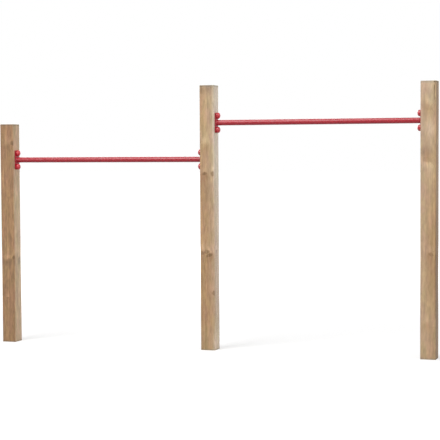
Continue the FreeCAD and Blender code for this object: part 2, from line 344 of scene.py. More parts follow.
class PostSettings(bpy.types.PropertyGroup):
    """Sizes and colours of the timber posts."""

    arris: Length("Arris", "Rounding of the long edges", 0.004)
    top_ease: Length("Top", "Rounding of the top edges", 0.0025)
    waviness: Length("Waviness", "How far a planed face strays from flat", 0.00035)
    ring: Length("Ring", "Width of a year's growth", 0.0042)
    heart: Colour("Heartwood", "Colour of the heartwood", (0.385, 0.225, 0.108))
    sap: Colour("Sapwood", "Colour of the sapwood", (0.475, 0.345, 0.220))
    knot: Colour("Knots", "Colour at the heart of a knot", (0.150, 0.081, 0.033))


class BarSettings(bpy.types.PropertyGroup):
    """Sizes and colour of the coated steel bars."""

    diameter: Length("Diameter", "Outside of the tube", 0.0337)
    wall: Length("Wall", "Thickness of the tube", 0.0026)
    flange_corner: Length("Flange corner", "Rounding of the flange's corners", 0.006)
    flange_edge: Length("Flange edge", "Rounding of the flange's front edge", 0.0008)
    hole: Length("Hole", "Diameter of the flange's holes", 0.011)
    weld_leg: Length("Weld leg", "Size of the fillet weld", 0.004)
    weld_bulge: Length("Weld bulge", "How full the weld's face is", 0.0005)
    weld_ripple: Length("Weld ripple", "Height of the weld's ripples", 0.00014)
    weld_ripples: Count("Ripples", "Ripples round the weld", 38)
    coat: Colour("Coat", "Colour of the powder coat", (0.322, 0.006, 0.017))


class CapSettings(bpy.types.PropertyGroup):
    """Sizes and colour of the snap caps."""

    diameter: Length("Diameter", "Foot of the cap", 0.038)
    height: Length("Height", "Flange to the top of the dome", 0.0215)
    base_height: Length("Base", "Height of the base", 0.008)
    floor: Length("Floor", "Thickness of the base's floor", 0.003)
    wall: Length("Wall", "Thickness of the base's wall", 0.0022)
    draft: Length("Draft", "How much the base narrows", 0.0003)
    foot_radius: Length("Foot radius", "Rounding of the foot", 0.0008)
    rounding: Length("Rounding", "Moulded edges", 0.0005)
    lid_wall: Length("Lid wall", "Thickness of the lid", 0.002)
    band: Length("Band", "Straight band above the seam", 0.0018)
    shoulder: Length("Shoulder", "Rounding below the crown", 0.007)
    skirt: Length("Skirt", "Depth of the skirt in the base", 0.0034)
    skirt_wall: Length("Skirt wall", "Thickness of the skirt", 0.0016)
    gap: Length("Gap", "Between skirt and base", 0.00015)
    bead: Length("Bead", "How far the snap bead stands out", 0.00035)
    bead_width: Length("Bead width", "Width of the snap bead", 0.001)
    notch_width: Length("Notch width", "Prising notch, across the lid", 0.007)
    notch_height: Length("Notch height", "Prising notch, above the seam", 0.0012)
    notch_depth: Length("Notch depth", "Prising notch, into the lid", 0.0014)
    plastic: Colour("Plastic", "Colour of the caps", (0.46, 0.012, 0.022))


class ScrewSettings(bpy.types.PropertyGroup):
    """Sizes of the coach screws and their washers."""

    diameter: Length("Diameter", "Shank and crest of the thread", 0.010)
    core: Length("Core", "Root of the thread", 0.007)
    pitch: Length("Pitch", "From one turn of the thread to the next", 0.0045)
    thread: Length("Thread", "Length from the point to the plain shank", 0.050)
    point: Length("Point", "Length of the point", 0.011)
    pilot_gap: Length("Pilot gap", "Between screw and timber", 0.00005)
    across_flats: Length("Across flats", "Size of the hexagon head", 0.017)
    chamfer: Angle("Chamfer", "Slope of the head's corners", math.radians(30))
    washer_hole: Length("Washer hole", "Hole of the washer", 0.0105)
    washer_edge: Length("Washer edge", "Rounding that the punch leaves", 0.0004)


class StageSettings(bpy.types.PropertyGroup):
    """Camera, floor and light."""

    camera_place: Place("Camera", "Where the camera stands", (2.8384, -8.1087, 1.2209))
    yaw: Angle("Yaw", "Turn of the view", math.radians(18.874))
    pitch: Angle("Pitch", "Tilt below level", math.radians(2.89))
    roll: Angle("Roll", "Lean of the camera", math.radians(-0.327))
    lens: Focus("Lens", "Focal length", 116.145)
    floor_size: Length("Floor", "Side of the floor", 120.0)
    floor_tone: Colour("Floor tone", "Colour of the floor", (0.4, 0.4, 0.4))
    panel: Power("Panel", "Power of the large high panel", 1000.0)
    key: Power("Key", "Power of the key light", 34.0)
    back: Power("Back", "Power of the panel behind the set", 350.0)
    fill: Strength("Fill", "Strength of the broad light from the side", 2.4)
    sky: Strength("Sky", "Strength of the light from all round", 0.12)


def settings(name):
    return getattr(bpy.context.scene, "bars_" + name)


# Shader nodes


class Wire:
    """What a node gives out. A formula with wires in it adds the nodes that work it out."""

    def __init__(self, graph, socket):
        self.graph = graph
        self.socket = socket

    def worked(self, operation, other):
        """Works on a number, or on each part of a place or colour."""
        if self.socket.type == "VALUE":
            return self.graph.math(operation, self, other)
        return self.graph.vector("Vector", operation, self, other)

    __add__ = partialmethod(worked, "ADD")
    __sub__ = partialmethod(worked, "SUBTRACT")
    __mul__ = partialmethod(worked, "MULTIPLY")
    __truediv__ = partialmethod(worked, "DIVIDE")
    __pow__ = partialmethod(worked, "POWER")

    def length(self):
        return self.graph.vector("Value", "LENGTH", self)

    def dot(self, other):
        return self.graph.vector("Value", "DOT_PRODUCT", self, other)

    def part(self, axis):
        return self.graph.wire(axis, "ShaderNodeSeparateXYZ", {0: self})

    def between(self, low, high, start=0.0, end=1.0):
        """Smooth step from start to end as this number goes from low to high."""
        inputs = {0: self, 1: low, 2: high, 3: start, 4: end}
        return self.graph.wire(0, "ShaderNodeMapRange", inputs, interpolation_type="SMOOTHSTEP")


class Graph:
    """Adds nodes to an emptied tree. What goes into a node is a wire or a plain value."""

    def __init__(self, tree):
        tree.nodes.clear()
        self.tree = tree

    def feed(self, socket, value):
        """Links a wire or sets a value. A colour gets its alpha, and one number fills a whole place."""
        if isinstance(value, Wire):
            self.tree.links.new(value.socket, socket)
        elif socket.type == "RGBA":
            socket.default_value = (*value, 1.0)
        elif socket.type == "VECTOR" and isinstance(value, float):
            socket.default_value = (value, value, value)
        else:
            socket.default_value = value

    def add(self, kind, inputs=(), **choices):
        """New node, with its inputs given by their names or numbers."""
        node = self.tree.nodes.new(kind)
        for name, choice in choices.items():
            setattr(node, name, choice)
        for key, value in dict(inputs).items():
            self.feed(node.inputs[key], value)
        return node

    def wires(self, kind, inputs=(), **choices):
        """All that a new node gives out."""
        return [Wire(self, socket) for socket in self.add(kind, inputs, **choices).outputs]

    def wire(self, output, kind, inputs=(), **choices):
        """One of the things that a new node gives out."""
        return Wire(self, self.add(kind, inputs, **choices).outputs[output])

    def place(self):
        return self.wire("Object", "ShaderNodeTexCoord")

    def math(self, operation, first, second=0.0, clamp=False):
        inputs = {0: first, 1: second}
        return self.wire(0, "ShaderNodeMath", inputs, operation=operation, use_clamp=clamp)

    def vector(self, output, operation, first, second=0.0):
        return self.wire(output, "ShaderNodeVectorMath", {0: first, 1: second}, operation=operation)

    def noise(self, place, detail, rough=0.5, output="Fac"):
        inputs = {"Vector": place, "Scale": 1.0, "Detail": detail, "Roughness": rough}
        return self.wire(output, "ShaderNodeTexNoise", inputs)

    def grain(self, place, figure, output="Fac"):
        """Noise drawn out along the posts."""
        stretched = place * (figure.across, figure.across, figure.along)
        return self.noise(stretched, figure.detail, figure.rough, output)

    def mix(self, share, first, second, blend="MIX"):
        inputs = {0: share, 6: first, 7: second}
        return self.wire(2, "ShaderNodeMix", inputs, data_type="RGBA", blend_type=blend)

    def tint(self, colour, tint, share=1.0):
        return self.mix(share, colour, tint, "MULTIPLY")

    def bump(self, height, strength, distance):
        return self.wire(0, "ShaderNodeBump", {"Height": height, "Strength": strength, "Distance": distance})

    def surface(self, looks):
        """Ends a material in a shader with these looks."""
        shader = self.wire(0, "ShaderNodeBsdfPrincipled", looks)
        self.add("ShaderNodeOutputMaterial", {"Surface": shader})


def new_material(name):
    """Empty material and its graph."""
    material = bpy.data.materials.new(name)
    material.use_nodes = True
    return material, Graph(material.node_tree)


def tinted(colour, *factors):
    """A colour times one factor, or times a factor for each channel."""
    factors = factors * 3 if len(factors) == 1 else factors
    return tuple(channel * factor for channel, factor in zip(colour, factors))


# Pine


def knot_group():
    """Node group for one branch: its heart, its rim, the swirl of the grain and the shade beside it."""
    group = bpy.data.node_groups.get("branch")
    if group:
        return group
    group = bpy.data.node_groups.new("branch", "ShaderNodeTree")
    for name in ("Place", "Start", "Way", "Shape"):
        group.interface.new_socket(name=name, in_out="INPUT", socket_type="NodeSocketVector")
    group.interface.new_socket(name="Radius", in_out="INPUT", socket_type="NodeSocketFloat")
    for name in ("Heart", "Rim", "Swirl", "Shade"):
        group.interface.new_socket(name=name, in_out="OUTPUT", socket_type="NodeSocketFloat")
    graph = Graph(group)
    place, start, way, shape, radius, _ = graph.wires("NodeGroupInput")
    reach = place - start
    along = reach.dot(way)
    outward = along.between(*BRANCH_START)
    aside = (reach - way * along) * shape
    heart = aside.length() / radius
    fall = ((aside * GRAIN_OVAL).length() / radius) ** 2.0
    above = aside.part("Z") / radius
    swirl = graph.math("EXPONENT", fall * SWIRL_FALL)
    shade = above * graph.math("EXPONENT", fall * SHADE_FALL)
    rim = graph.math("EXPONENT", (heart - 1.0) ** 2.0 * RIM_FALL)
    rim = rim * above.between(RIM_ABOVE, RIM_BELOW, FAINT_RIM, 1.0)
    found = {"Heart": heart.between(*HEART_EDGE), "Rim": rim, "Swirl": swirl, "Shade": shade}
    graph.add("NodeGroupOutput", {name: value * outward for name, value in found.items()})
    return group


def add_knots(graph, place, post):
    """Over all of a post's knots: dark hearts, dark rims, the swirl of the rings and the shade."""
    hearts, rims, swirls, shades = 0.0, 0.0, 0.0, 0.0
    for knot in KNOTS[post]:
        mouth = Vector((knot.across, knot.depth, knot.height))
        start = Vector((*LOGS[post].pith, knot.height))
        start.z -= BRANCH_RISE * (mouth - start).length
        branch = {
            "Place": place,
            "Start": foot_centre(post) + start,
            "Way": (mouth - start).normalized(),
            "Shape": (1.0, 1.0, 1.0 / knot.tall),
            "Radius": knot.radius,
        }
        heart, rim, swirl, shade = graph.wires("ShaderNodeGroup", branch, node_tree=knot_group())
        hearts = graph.math("MAXIMUM", hearts, heart * knot.dark)
        rims = graph.math("MAXIMUM", rims, rim * knot.dark)
        swirls = graph.math("ADD", swirls, swirl * knot.radius)
        shades = graph.math("ADD", shades, shade * knot.shade)
    return hearts, rims, swirls, shades


def add_stains_and_painted_light(graph, place, post, colour):
    """The colour after each of a post's tint areas, its stains and its painted light, has tinted it."""
    for tint_area in STAINS_AND_PAINTED_LIGHT[post]:
        middle = foot_centre(post) + Vector((tint_area.across, tint_area.depth, tint_area.height))
        reach = (place - middle) / (tint_area.wide, tint_area.deep, tint_area.long)
        colour = graph.tint(colour, tint_area.tint, reach.length().between(*TINT_AREA_EDGE))
    return colour


def from_axis(place, post, axis):
    """Level way from an upright axis, which is given from the middle of a post's section."""
    return (place - (foot_centre(post) + Vector((*axis, 0.0)))) * (1.0, 1.0, 0.0)


def late_wood(graph, from_pith, bent):
    """How much of the dark wood that ends each year's ring shows."""
    year = graph.math("FRACT", bent / settings("posts").ring)
    strength = graph.noise(from_pith * LATE_PATCHES, detail=1.0).between(*NOISE_MOST, *LATE_STRENGTH)
    return year.between(*LATE_START) * year.between(*LATE_END) * strength


def heart_and_sap(graph, post, strayed, height, swirls, shades):
    """Heartwood in the middle of the log, and pale sapwood round it and where grain lifts beside a knot."""
    timber, log = settings("posts"), LOGS[post]
    outward = from_axis(strayed, post, log.heart).length() - swirls * RING_SWIRL
    outward = outward + height * (log.narrowing + LOG_TAPER)
    sappy = outward.between(log.radius - log.fade, log.radius + log.fade)
    pale = graph.math("ADD", sappy, shades * SHADE_PALENESS, clamp=True)
    return graph.mix(pale, tinted(timber.heart, *log.heart_tint), tinted(timber.sap, *log.sap_tint))


def end_grain(graph, height, top):
    """Where a post's end grain is, and the darker bands of its faces next to its top and foot."""
    facing = graph.math("ABSOLUTE", graph.wire("Normal", "ShaderNodeNewGeometry").part("Z"))
    top_band = height.between(*(top - distance for distance in TOP_BAND))
    rims = graph.math("MAXIMUM", top_band, height.between(*FOOT_BAND))
    return graph.math("MAXIMUM", facing.between(*END_FACING), rims)


def pine(post):
    """Planed pine cut out of a round log, so its rings, knots and end grain meet on every face."""
    log = LOGS[post]
    material, graph = new_material("pine_" + post)
    place = graph.place()
    height = place.part("Z")
    figures = {name: graph.grain(place, figure) for name, figure in FIGURES.items()}

    # Grain wanders a little on its way up the tree, and bends outwards round the knots
    slow = (graph.grain(place, SLOW_BENDS, "Color") - 0.5) * SLOW_BENDS.reach
    quick = graph.grain(place, QUICK_BENDS, "Color") - 0.5
    strayed = place + (slow + quick * QUICK_BENDS.reach)
    hearts, rims, swirls, shades = add_knots(graph, place + quick * KNOT_BENDS, post)
    shades = shades * figures["mottle"].between(*NOISE_MOST, *SHADE_RANGE)
    from_pith = from_axis(strayed, post, log.pith)
    grown = from_pith.length() + height * LOG_TAPER
    late = late_wood(graph, from_pith, grown - swirls * RING_SWIRL)

    colour = heart_and_sap(graph, post, strayed, height, swirls, shades)
    # Painted shade beside the pith, which darkens the right post's right face
    colour = graph.tint(colour, log.core_tint, grown.between(*CORE_SHADE_EDGE))
    colour = add_stains_and_painted_light(graph, strayed, post, colour)
    drift = graph.grain(place, HUE_DRIFT).between(*NOISE_MIDDLE)
    colour = graph.tint(colour, graph.mix(drift, *DRIFT_TINTS))
    colour = graph.mix(late * LATE_DEPTH, colour, graph.tint(colour, LATE_TINT))
    light = shades * SHADE_LIGHT + 1.0
    for name, figure in FIGURES.items():
        reach = figure.reach * log.figure
        light = light * figures[name].between(*NOISE_MOST, 1.0 - reach, 1.0 + reach)
    colour = colour * light
    broken = figures["mottle"].between(*KNOT_GRAIN) * KNOT_DEPTH
    for dark in (hearts, rims):
        colour = graph.mix(dark * broken, colour, settings("posts").knot)

    # End grain drinks up light; bands of the faces next to a post's top and foot are darker and rougher too
    ends_and_bands = end_grain(graph, height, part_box(post)[1].z)
    rough = figures["fibre"] * FIBRE_ROUGHNESS + log.rough
    relief = late * LATE_RELIEF + figures["fibre"] * FIBRE_RELIEF
    graph.surface(
        {
            "Base Color": graph.tint(colour, END_TINT, ends_and_bands),
            "Roughness": graph.math("MAXIMUM", rough, ends_and_bands * SAWN_ROUGHNESS),
            "Normal": graph.bump(relief, *PINE_BUMP),
        }
    )
    return material


# Other finishes


def powder_coat():
    """Satin red powder coat with the slight orange peel of a baked finish."""
    material, graph = new_material("red_powder_coat")
    colour = settings("bars").coat
    place = graph.place()
    cloud = graph.noise(place * 18.0, detail=3.0)
    peel = graph.noise(place * 420.0, detail=1.0)
    grit = graph.noise(place * 2600.0, detail=1.0)
    graph.surface(
        {
            "Base Color": graph.mix(cloud, tinted(colour, 0.96), tinted(colour, 1.04)),
            "Specular IOR Level": 0.42,
            "Roughness": cloud.between(*NOISE_MIDDLE, 0.26, 0.31),
            "Normal": graph.bump(peel + grit * 0.25, strength=0.05, distance=0.0001),
        }
    )
    return material


def moulded_plastic():
    """Semi-gloss red plastic with a fine moulded grain."""
    material, graph = new_material("red_cap_plastic")
    colour = settings("caps").plastic
    place = graph.place()
    cloud = graph.noise(place * 60.0, detail=2.0)
    grain = graph.noise(place * 1800.0, detail=2.0)
    graph.surface(
        {
            "Base Color": graph.mix(cloud, tinted(colour, 0.95), tinted(colour, 1.05)),
            "Specular IOR Level": 0.58,
            "Roughness": grain.between(*NOISE_MIDDLE, 0.19, 0.25),
            "Normal": graph.bump(grain, strength=0.12, distance=0.00012),
        }
    )
    return material


def zinc_plate():
    """Bright zinc plate with a faint crystalline mottle."""
    material, graph = new_material("zinc_plate")
    mottle = graph.noise(graph.place() * 260.0, detail=3.0)
    graph.surface(
        {
            "Base Color": graph.mix(mottle, (0.58, 0.59, 0.60), (0.70, 0.71, 0.70)),
            "Roughness": mottle.between(*NOISE_MIDDLE, 0.26, 0.40),
            "Metallic": 1.0,
        }
    )
    return material


# Places on the frame


def foot_centre(post):
    low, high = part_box(post)
    return Vector(((low.x + high.x) / 2, (low.y + high.y) / 2, low.z))


def middle_height(node):
    low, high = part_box(node)
    return (low.z + high.z) / 2


def stations(piece):
    """Where a piece of the first fixing starts and ends, along X from the post's face."""
    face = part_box("low_bar_left_flange")[0].x
    low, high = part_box("low_bar_left_" + piece)
    return low.x - face, high.x - face


def seat(bar, end, piece):
    """Turns and moves a shape drawn at the origin, with X out of the timber, to a piece's place on a post."""
    low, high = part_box(f"{bar}_{end}_flange")
    face, turn = (low.x, 0.0) if end == "left" else (high.x, math.pi)
    height = middle_height(f"{bar}_{end}_{piece}")
    return Matrix.Translation((face, 0.0, height)) @ Matrix.Rotation(turn, 4, "Z")


# Making shapes


def to_mesh(shape, name):
    bmesh.ops.recalc_face_normals(shape, faces=shape.faces)
    mesh = bpy.data.meshes.new(name)
    shape.to_mesh(mesh)
    shape.free()
    return mesh


def combined(mesh, others, operation):
    """The mesh after the other meshes are taken out of it, joined to it or kept in common with it."""
    scene = bpy.context.scene
    block = bpy.data.objects.new(mesh.name, mesh)
    scene.collection.objects.link(block)
    tools = []
    for other in others:
        tool = bpy.data.objects.new(other.name, other)
        scene.collection.objects.link(tool)
        step = block.modifiers.new(other.name, "BOOLEAN")
        step.operation = operation
        step.solver = "EXACT"
        step.object = tool
        tools.append(tool)
    left = bpy.data.meshes.new_from_object(block.evaluated_get(bpy.context.evaluated_depsgraph_get()))
    for spent in (block, *tools):
        used = spent.data
        bpy.data.objects.remove(spent)
        bpy.data.meshes.remove(used)
    return left


def show(mesh, node, material):
    """Makes the mesh a piece that stands for one node."""
    piece = bpy.data.objects.new(node + "_piece", mesh)
    mesh.name = piece.name
    mesh.shade_smooth()
    mesh.set_sharp_from_angle(angle=SHARP_EDGE)
    mesh.materials.clear()
    mesh.materials.append(material)
    bpy.context.scene.collection.objects.link(piece)
    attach(piece, BODY)
    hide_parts(node)


def show_copy(mesh, place, node, material):
    copy = mesh.copy()
    copy.transform(place)
    show(copy, node, material)


def box_shape(size, middle):
    shape = bmesh.new()
    bmesh.ops.create_cube(shape, size=1.0)
    bmesh.ops.scale(shape, vec=size, verts=shape.verts)
    bmesh.ops.translate(shape, vec=middle, verts=shape.verts)
    return shape


def prism(name, sides, radius, depth, middle):
    """Mesh of a prism along the X axis."""
    shape = bmesh.new()
    bmesh.ops.create_cone(shape, cap_ends=True, segments=sides, radius1=radius, radius2=radius, depth=depth)
    turn = Matrix.Translation(middle) @ Matrix.Rotation(math.pi / 2, 4, "Y")
    bmesh.ops.transform(shape, matrix=turn, verts=shape.verts)
    return to_mesh(shape, name)


def upright_edges(shape, least):
    """Edges that climb by more than the least height."""
    return [e for e in shape.edges if abs(e.verts[0].co.z - e.verts[1].co.z) > least]


def bevel(shape, edges, offset, segments):
    bmesh.ops.bevel(
        shape,
        geom=edges,
        offset=offset,
        offset_type="OFFSET",
        affect="EDGES",
        segments=segments,
        profile=0.5,
        material=-1,
    )


def spun(profile, steps, name):
    """Mesh of a full turn about the X axis of (along, radius) points. Points on the axis close the ends."""
    return to_mesh(spun_shape(profile, steps), name)


def spun_shape(profile, steps):
    shape = bmesh.new()
    corners = [shape.verts.new((along, 0.0, radius)) for along, radius in profile]
    edges = [shape.edges.new(pair) for pair in zip(corners, corners[1:] + corners[:1])]
    bmesh.ops.spin(
        shape,
        geom=corners + edges,
        cent=(0.0, 0.0, 0.0),
        axis=(1.0, 0.0, 0.0),
        angle=2 * math.pi,
        steps=steps,
        use_merge=True,
    )
    bmesh.ops.remove_doubles(shape, verts=shape.verts, dist=MERGED)
    bmesh.ops.dissolve_degenerate(shape, edges=shape.edges, dist=MERGED)
    return shape


def arc(centre, radius, start, end, steps=EDGE_STEPS):
    """Points on an arc in the (along, radius) plane, angles from the X axis, ends included."""
    points = []
    for step in range(steps + 1):
        angle = start + (end - start) * step / steps
        points.append((centre[0] + radius * math.cos(angle), centre[1] + radius * math.sin(angle)))
    return points


def dome(foot, height, radius, shoulder):
    """Points from a straight wall over its shoulder to a crown centred on the X axis."""
    crown = (height**2 + radius**2 - 2 * radius * shoulder) / 2 / (height - shoulder)
    middle = foot + height - crown
    meet = math.atan2(radius - shoulder, foot - middle)
    over_shoulder = arc((foot, radius - shoulder), shoulder, math.pi / 2, meet, DOME_STEPS)
    over_crown = arc((middle, 0.0), crown, meet, 0.0, DOME_STEPS)
    return over_shoulder + over_crown[1:]


# Posts


def post_block(post):
    """Square timber with eased edges and faces that aren't perfectly flat."""
    timber = settings("posts")
    low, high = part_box(post)
    shape = box_shape(high - low, (low + high) / 2)
    bevel(shape, upright_edges(shape, timber.arris), timber.arris, EDGE_STEPS)
    top = [e for e in shape.edges if all(high.z - v.co.z < timber.arris / 2 for v in e.verts)]
    bevel(shape, top, timber.top_ease, TOP_STEPS)
    upright = upright_edges(shape, timber.arris)
    bmesh.ops.subdivide_edges(shape, edges=upright, cuts=POST_ROWS, use_grid_fill=True)
    shape.normal_update()
    waves = Vector((WAVES_ACROSS, WAVES_ACROSS, WAVES_ALONG))
    for vert in shape.verts:
        if low.z < vert.co.z < high.z - timber.arris:
            vert.co.xy += vert.normal.xy * noise.noise(vert.co * waves) * timber.waviness
    return to_mesh(shape, post)


def check_cutter(post, check):
    """Wedge that opens a drying check, tapered to a hairline where the check ends inside the post."""
    low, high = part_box(post)
    shape = bmesh.new()
    bmesh.ops.create_cone(shape, cap_ends=True, segments=3, radius1=1.0, radius2=1.0, depth=1.0)
    upright = upright_edges(shape, 0.5)
    bmesh.ops.subdivide_edges(shape, edges=upright, cuts=CHECK_ROWS, use_grid_fill=True)
    for vert in shape.verts:
        share = vert.co.z + 0.5
        taper = share**OPEN_TAPER if check.open else math.sin(math.pi * share) ** CLOSED_TAPER
        taper = max(taper, CHECK_HAIRLINE)
        spot = Vector((check.across, check.foot, share))
        stray = noise.noise(spot * CHECK_BENDS)
        inside = vert.co.y > 0.0
        side = 0.0 if inside else math.copysign(1.0, vert.co.x)
        vert.co.x = check.across + CHECK_WANDER * check.mouth * stray + side * check.mouth / 2 * taper
        vert.co.y = -(high.y - low.y) / 2 + (check.depth * taper if inside else -CUTTER_SPARE)
        vert.co.z = check.foot + check.length * share * (CHECK_OVERRUN if check.open else 1.0)
    turn = Matrix.Rotation(math.radians(FACE_TURNS[check.face]), 4, "Z")
    bmesh.ops.transform(shape, matrix=Matrix.Translation(foot_centre(post)) @ turn, verts=shape.verts)
    return to_mesh(shape, "check")


def pilot_cutter(place):
    """Hole that a screw sits in, drilled past its tip."""
    screw = settings("screws")
    tip, head = stations("top_screw")[0], stations("top_washer")[1]
    radius = screw.diameter / 2 + screw.pilot_gap
    profile = [(tip - PILOT_SPARE, 0.0), (head, 0.0), (head, radius), (tip + screw.point, radius)]
    mesh = spun(profile, SCREW_STEPS, "pilot")
    mesh.transform(place)
    return mesh


# Bars, flanges and welds


def tube_mesh(bar):
    steel = settings("bars")
    low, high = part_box(bar + "_tube")
    outer, inner = steel.diameter / 2, steel.diameter / 2 - steel.wall
    mesh = spun([(low.x, inner), (high.x, inner), (high.x, outer), (low.x, outer)], ROUND_STEPS, bar)
    mesh.transform(Matrix.Translation((0.0, 0.0, middle_height(bar + "_tube"))))
    return mesh


def flange_mesh():
    """Flat plate with rounded corners, eased front edges and two holes, drawn at a post's face."""
    steel = settings("bars")
    low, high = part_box("low_bar_left_flange")
    size = high - low
    shape = box_shape(size, (size.x / 2, 0.0, 0.0))
    corners = [e for e in shape.edges if abs(e.verts[0].co.x - e.verts[1].co.x) > size.x / 2]
    bevel(shape, corners, steel.flange_corner, CORNER_STEPS)
    front = [e for e in shape.edges if all(v.co.x > size.x / 2 for v in e.verts)]
    bevel(shape, front, steel.flange_edge, EDGE_STEPS)
    plate = to_mesh(shape, "flange")
    reach = middle_height("low_bar_left_top_washer") - middle_height("low_bar_left_flange")
    middles = ((0.0, 0.0, -reach), (0.0, 0.0, reach))
    through = 3 * size.x
    holes = [prism("hole", HOLE_STEPS, steel.hole / 2, through, middle) for middle in middles]
    return combined(plate, holes, "DIFFERENCE")


def weld_mesh():
    """Fillet weld bead, rippled round the tube, drawn at a post's face."""
    steel = settings("bars")
    corner = Vector((stations("flange")[1], steel.diameter / 2))
    leg = steel.weld_leg
    bead = [(corner.x, corner.y), (corner.x, corner.y + leg)]
    for step in range(1, WELD_STEPS):
        share = step / WELD_STEPS
        full = steel.weld_bulge * 4 * share * (1 - share) / math.sqrt(2)
        bead.append((corner.x + leg * share + full, corner.y + leg * (1 - share) + full))
    bead.append((corner.x + leg, corner.y))
    shape = spun_shape(bead, steel.weld_ripples * RIPPLE_STEPS)
    for vert in shape.verts:
        depth = min(vert.co.x - corner.x, vert.co.yz.length - corner.y)
        if depth > WELD_SKIN:
            turn = math.atan2(vert.co.z, vert.co.y) * steel.weld_ripples + RIPPLE_SLANT * depth / leg
            height = math.sin(turn) + noise.noise(vert.co * WELD_GRAIN)
            lift = steel.weld_ripple * height * min(1.0, RIPPLE_FADE * depth / leg)
            vert.co.x += lift
            vert.co.yz *= 1 + lift / vert.co.yz.length
    return to_mesh(shape, "weld")


# Snap caps


def cap_rim(cap):
    return cap.diameter / 2 - cap.draft


def base_mesh():
    """Cup that the washer clamps to the flange, with a groove inside its wall for the lid's bead."""
    cap = settings("caps")
    hole = settings("bars").hole / 2
    foot = stations("flange")[1]
    rim = foot + cap.base_height
    edge, heel = cap.rounding, cap.foot_radius
    cup = cap_rim(cap) - cap.wall
    snap, half = rim - cap.skirt / 2, cap.bead_width / 2 + cap.gap
    profile = [(foot, hole)]
    profile += arc((foot + heel, cap.diameter / 2 - heel), heel, math.pi, math.pi / 2)
    profile += arc((rim - edge, cap_rim(cap) - edge), edge, math.pi / 2, 0.0)
    profile += [(rim, cup), (snap + half, cup), (snap + half, cup + cap.bead)]
    profile += [(snap - half, cup + cap.bead), (snap - half, cup)]
    profile += [(foot + cap.floor, cup), (foot + cap.floor, hole)]
    return spun(profile, ROUND_STEPS, "cap_base")


def lid_mesh():
    """Dome with a beaded skirt that enters the cup, and a notch at its lower edge for prising it off."""
    cap = settings("caps")
    foot = stations("flange")[1]
    seam = foot + cap.base_height
    shoulder = seam + cap.band
    top = foot + cap.height
    edge = cap.rounding
    rim = cap_rim(cap)
    skirt = rim - cap.wall - cap.gap
    inside = skirt - cap.skirt_wall
    profile = [(seam, skirt)]
    profile += arc((seam + edge, rim - edge), edge, math.pi, math.pi / 2)
    profile += dome(shoulder, top - shoulder, rim, cap.shoulder)
    profile += reversed(dome(shoulder, top - cap.lid_wall - shoulder, inside, cap.shoulder - cap.lid_wall))
    snap, half = seam - cap.skirt / 2, cap.bead_width / 2
    profile += [(seam - cap.skirt, inside), (seam - cap.skirt, skirt)]
    profile += [(snap - half, skirt), (snap, skirt + cap.bead), (snap + half, skirt)]
    lid = spun(profile, ROUND_STEPS, "cap_lid")
    # The notch's cutter is as tall as the rim's radius and reaches below the rim
    middle = (seam + (cap.notch_height - edge) / 2, 0.0, cap.notch_depth - rim - rim / 2)
    notch = box_shape((cap.notch_height + edge, cap.notch_width, rim), middle)
    return combined(lid, [to_mesh(notch, "notch")], "DIFFERENCE")


# Screws and washers


def head_mesh(head, top):
    """Hexagon head with its corners chamfered."""
    screw = settings("screws")
    flat = screw.across_flats / 2
    corner = flat / math.cos(math.pi / 6)
    hexagon = prism("head", 6, corner, top - head, ((head + top) / 2, 0.0, 0.0))
    wide = HEAD_SPARE * corner
    slope = top - (wide - flat) * math.tan(screw.chamfer)
    envelope = [(head - wide, 0.0), (top, 0.0), (top, flat), (slope, wide), (head - wide, wide)]
    return combined(hexagon, [spun(envelope, SCREW_STEPS, "chamfer")], "INTERSECT")


def thread_mesh(start, end):
    """Ridge wound round the core of a screw, running out at both ends."""
    screw = settings("screws")
    core, crest = screw.core / 2, screw.diameter / 2
    foot = screw.pitch / 4
    turns = (end - start) / screw.pitch
    shape = bmesh.new()
    section = ((start - foot, THREAD_ROOT * core), (start, crest), (start + foot, THREAD_ROOT * core))
    corners = [shape.verts.new((along, 0.0, radius)) for along, radius in section]
    ridge = shape.faces.new(corners)
    bmesh.ops.spin(
        shape,
        geom=[*corners, *ridge.edges, ridge],
        cent=(0.0, 0.0, 0.0),
        axis=(1.0, 0.0, 0.0),
        dvec=(screw.pitch / THREAD_STEPS, 0.0, 0.0),
        angle=2 * math.pi * turns,
        steps=round(turns * THREAD_STEPS),
    )
    sunk = THREAD_END * core
    for vert in shape.verts:
        radius = vert.co.yz.length
        if radius > core:
            share = min(1.0, (vert.co.x - start) / screw.pitch, (end - vert.co.x) / screw.pitch)
            vert.co.yz *= (sunk + (crest - sunk) * max(0.0, share)) / radius
    return to_mesh(shape, "thread")


def screw_mesh():
    """Coach screw drawn at a post's face: hexagon head, plain shank, thread and point."""
    screw = settings("screws")
    tip, top = stations("top_screw")
    head = stations("top_washer")[1]
    core, radius = screw.core / 2, screw.diameter / 2
    point, plain = tip + screw.point, tip + screw.thread
    inside_head = (head + top) / 2
    profile = [(tip, 0.0), (inside_head, 0.0), (inside_head, radius), (plain, radius)]
    profile += [(plain - (radius - core), core), (point, core)]
    thread = thread_mesh(point, plain - (radius - core))
    return combined(spun(profile, SCREW_STEPS, "shank"), [head_mesh(head, top), thread], "UNION")


def washer_mesh():
    """Washer drawn at a post's face, rounded by the punch on its upper side."""
    screw = settings("screws")
    low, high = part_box("low_bar_left_top_washer")
    under, over = stations("top_washer")
    hole, outer, edge = screw.washer_hole / 2, (high.z - low.z) / 2, screw.washer_edge
    profile = [(over, hole), (under, hole), (under, outer)]
    profile += arc((over - edge, outer - edge), edge, math.pi / 2, 0.0)
    return spun(profile, ROUND_STEPS, "washer")


# Stage


